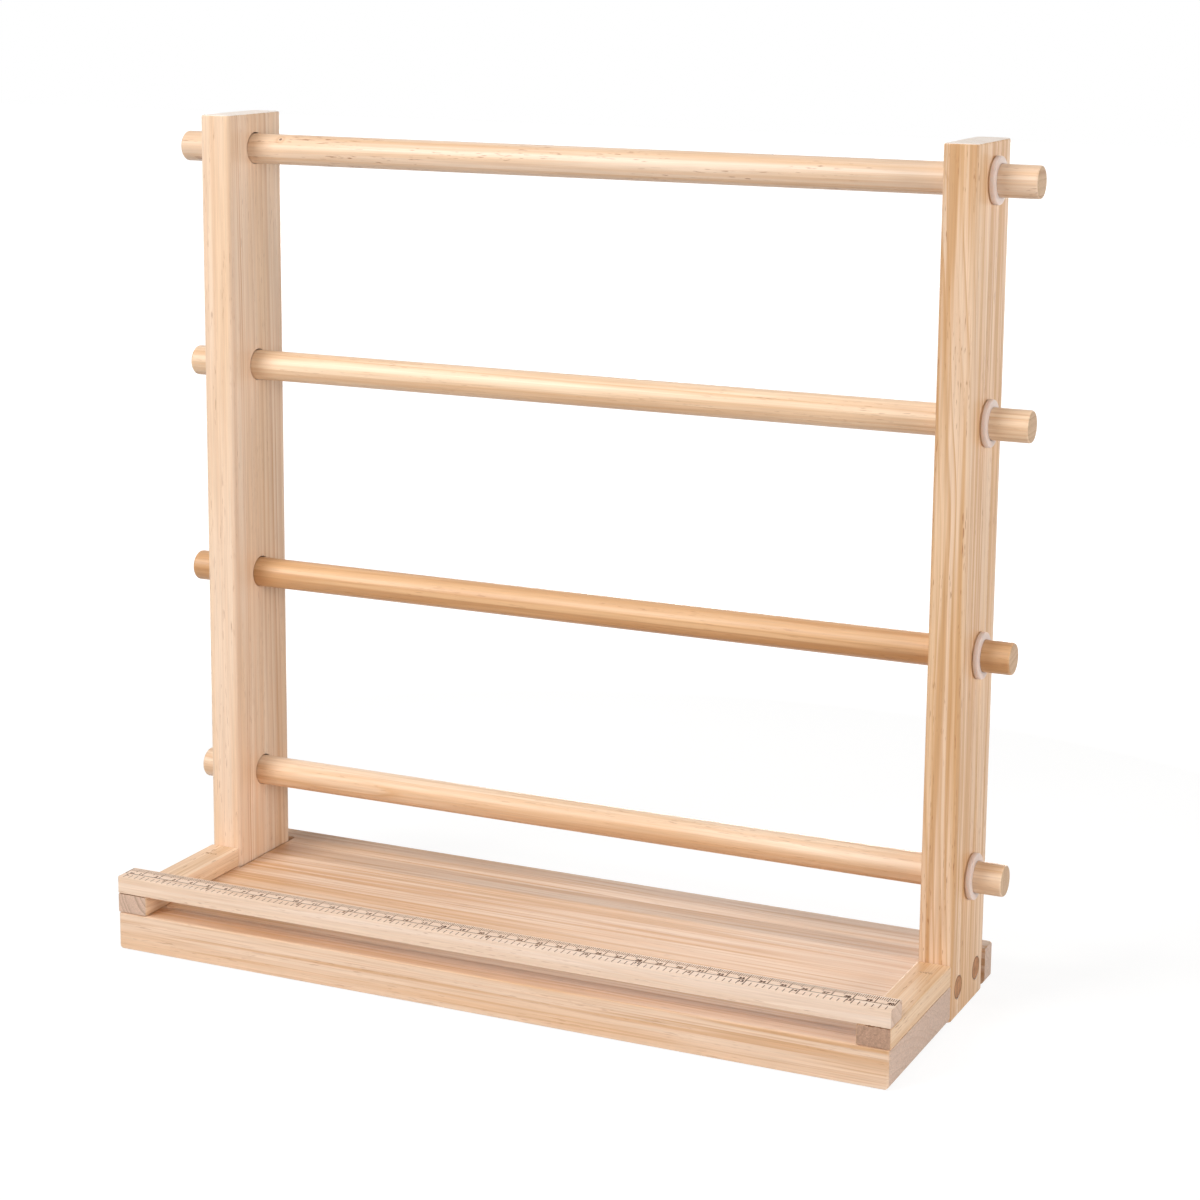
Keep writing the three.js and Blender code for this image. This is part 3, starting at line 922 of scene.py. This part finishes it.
def make_camera():
    data = bpy.data.cameras.new("camera")
    data.lens = CAMERA_LENS
    data.shift_y = CAMERA_SHIFT
    camera = bpy.data.objects.new("camera", data)
    turn = Matrix.Rotation(CAMERA_YAW, 4, "Z") @ Matrix.Rotation(math.pi / 2 - CAMERA_DOWN, 4, "X")
    turn = Matrix.Translation(CAMERA_PLACE) @ turn
    camera.matrix_world = turn @ Matrix.Rotation(CAMERA_ROLL, 4, "Z")
    bpy.context.scene.collection.objects.link(camera)
    bpy.context.scene.camera = camera


def seen_directly(nodes, links):
    """1 for camera, glossy and transmission rays, and 0 for the rays that light the object."""
    path = nodes.new("ShaderNodeLightPath")
    total = path.outputs["Is Camera Ray"]
    for name in ("Is Glossy Ray", "Is Transmission Ray"):
        plus = nodes.new("ShaderNodeMath")
        plus.operation = "MAXIMUM"
        links.new(total, plus.inputs[0])
        links.new(path.outputs[name], plus.inputs[1])
        total = plus.outputs[0]
    return total


def mixed_ends(nodes, links, share, first, second, end):
    """Ends a tree in two shaders mixed by a share of the second."""
    mix = nodes.new("ShaderNodeMixShader")
    links.new(share, mix.inputs[0])
    links.new(first.outputs[0], mix.inputs[1])
    links.new(second.outputs[0], mix.inputs[2])
    links.new(mix.outputs[0], end.inputs[0])


def make_world():
    """White where it is seen, and an even, softer light for the object."""
    world = bpy.data.worlds.new("studio")
    bpy.context.scene.world = world
    world.use_nodes = True
    nodes, links = world.node_tree.nodes, world.node_tree.links
    nodes.clear()
    light, white = nodes.new("ShaderNodeBackground"), nodes.new("ShaderNodeBackground")
    light.inputs["Color"].default_value = ROOM_LIGHT
    light.inputs["Strength"].default_value = AMBIENT
    white.inputs["Color"].default_value = WHITE
    end = nodes.new("ShaderNodeOutputWorld")
    mixed_ends(nodes, links, seen_directly(nodes, links), light, white, end)


def floor_paper():
    """Paper that takes a faint shadow near the object, under a white glow that only shows."""
    graph = Graph("floor")
    place = graph.node("ShaderNodeTexCoord").outputs["Object"]
    reach = graph.vector("LENGTH", place)
    share = graph.math("MAXIMUM", graph.rise(reach, *SHADOW_FADE), FLOOR_WHITE)
    share = graph.math("MULTIPLY", share, seen_directly(graph.nodes, graph.links))
    paper, white = graph.node("ShaderNodeBsdfDiffuse"), graph.node("ShaderNodeEmission")
    graph.feed(paper.inputs["Color"], graph.blend(graph.rise(reach, *PAPER_FADE), PAPER, TABLE))
    white.inputs["Strength"].default_value = FLOOR_GLOW
    end = graph.node("ShaderNodeOutputMaterial")
    mixed_ends(graph.nodes, graph.links, share, paper, white, end)
    return graph.material


def make_floor():
    """A pale floor that is white where the camera sees it and keeps a faint shadow near the object."""
    mesh = bpy.data.meshes.new("floor")
    corners = ((-1, -1), (1, -1), (1, 1), (-1, 1))
    points = [(x * FLOOR_HALF, y * FLOOR_HALF, FLOOR_LEVEL) for x, y in corners]
    mesh.from_pydata(points, [], [(0, 1, 2, 3)])
    floor = bpy.data.objects.new("floor", mesh)
    bpy.context.scene.collection.objects.link(floor)
    mesh.materials.append(floor_paper())


def make_lamp(name, place, aim, width, depth, watts):
    data = bpy.data.lights.new(name, "AREA")
    data.shape = "RECTANGLE"
    data.size = width
    data.size_y = depth
    data.energy = watts
    data.color = LAMP_COLOUR
    lamp = bpy.data.objects.new(name, data)
    lamp.location = place
    lamp.rotation_euler = (Vector(aim) - Vector(place)).to_track_quat("-Z", "Y").to_euler()
    bpy.context.scene.collection.objects.link(lamp)


make_camera()
make_world()
make_floor()
for lamp in LAMPS:
    make_lamp(*lamp)
dress_all()
printed_scale(ink())
fillers(filler())
glue_beads(old_glue())
ring_seats(seat_skin())
bpy.context.scene.view_settings.view_transform = "Standard"

bpy.context.view_layer.update()
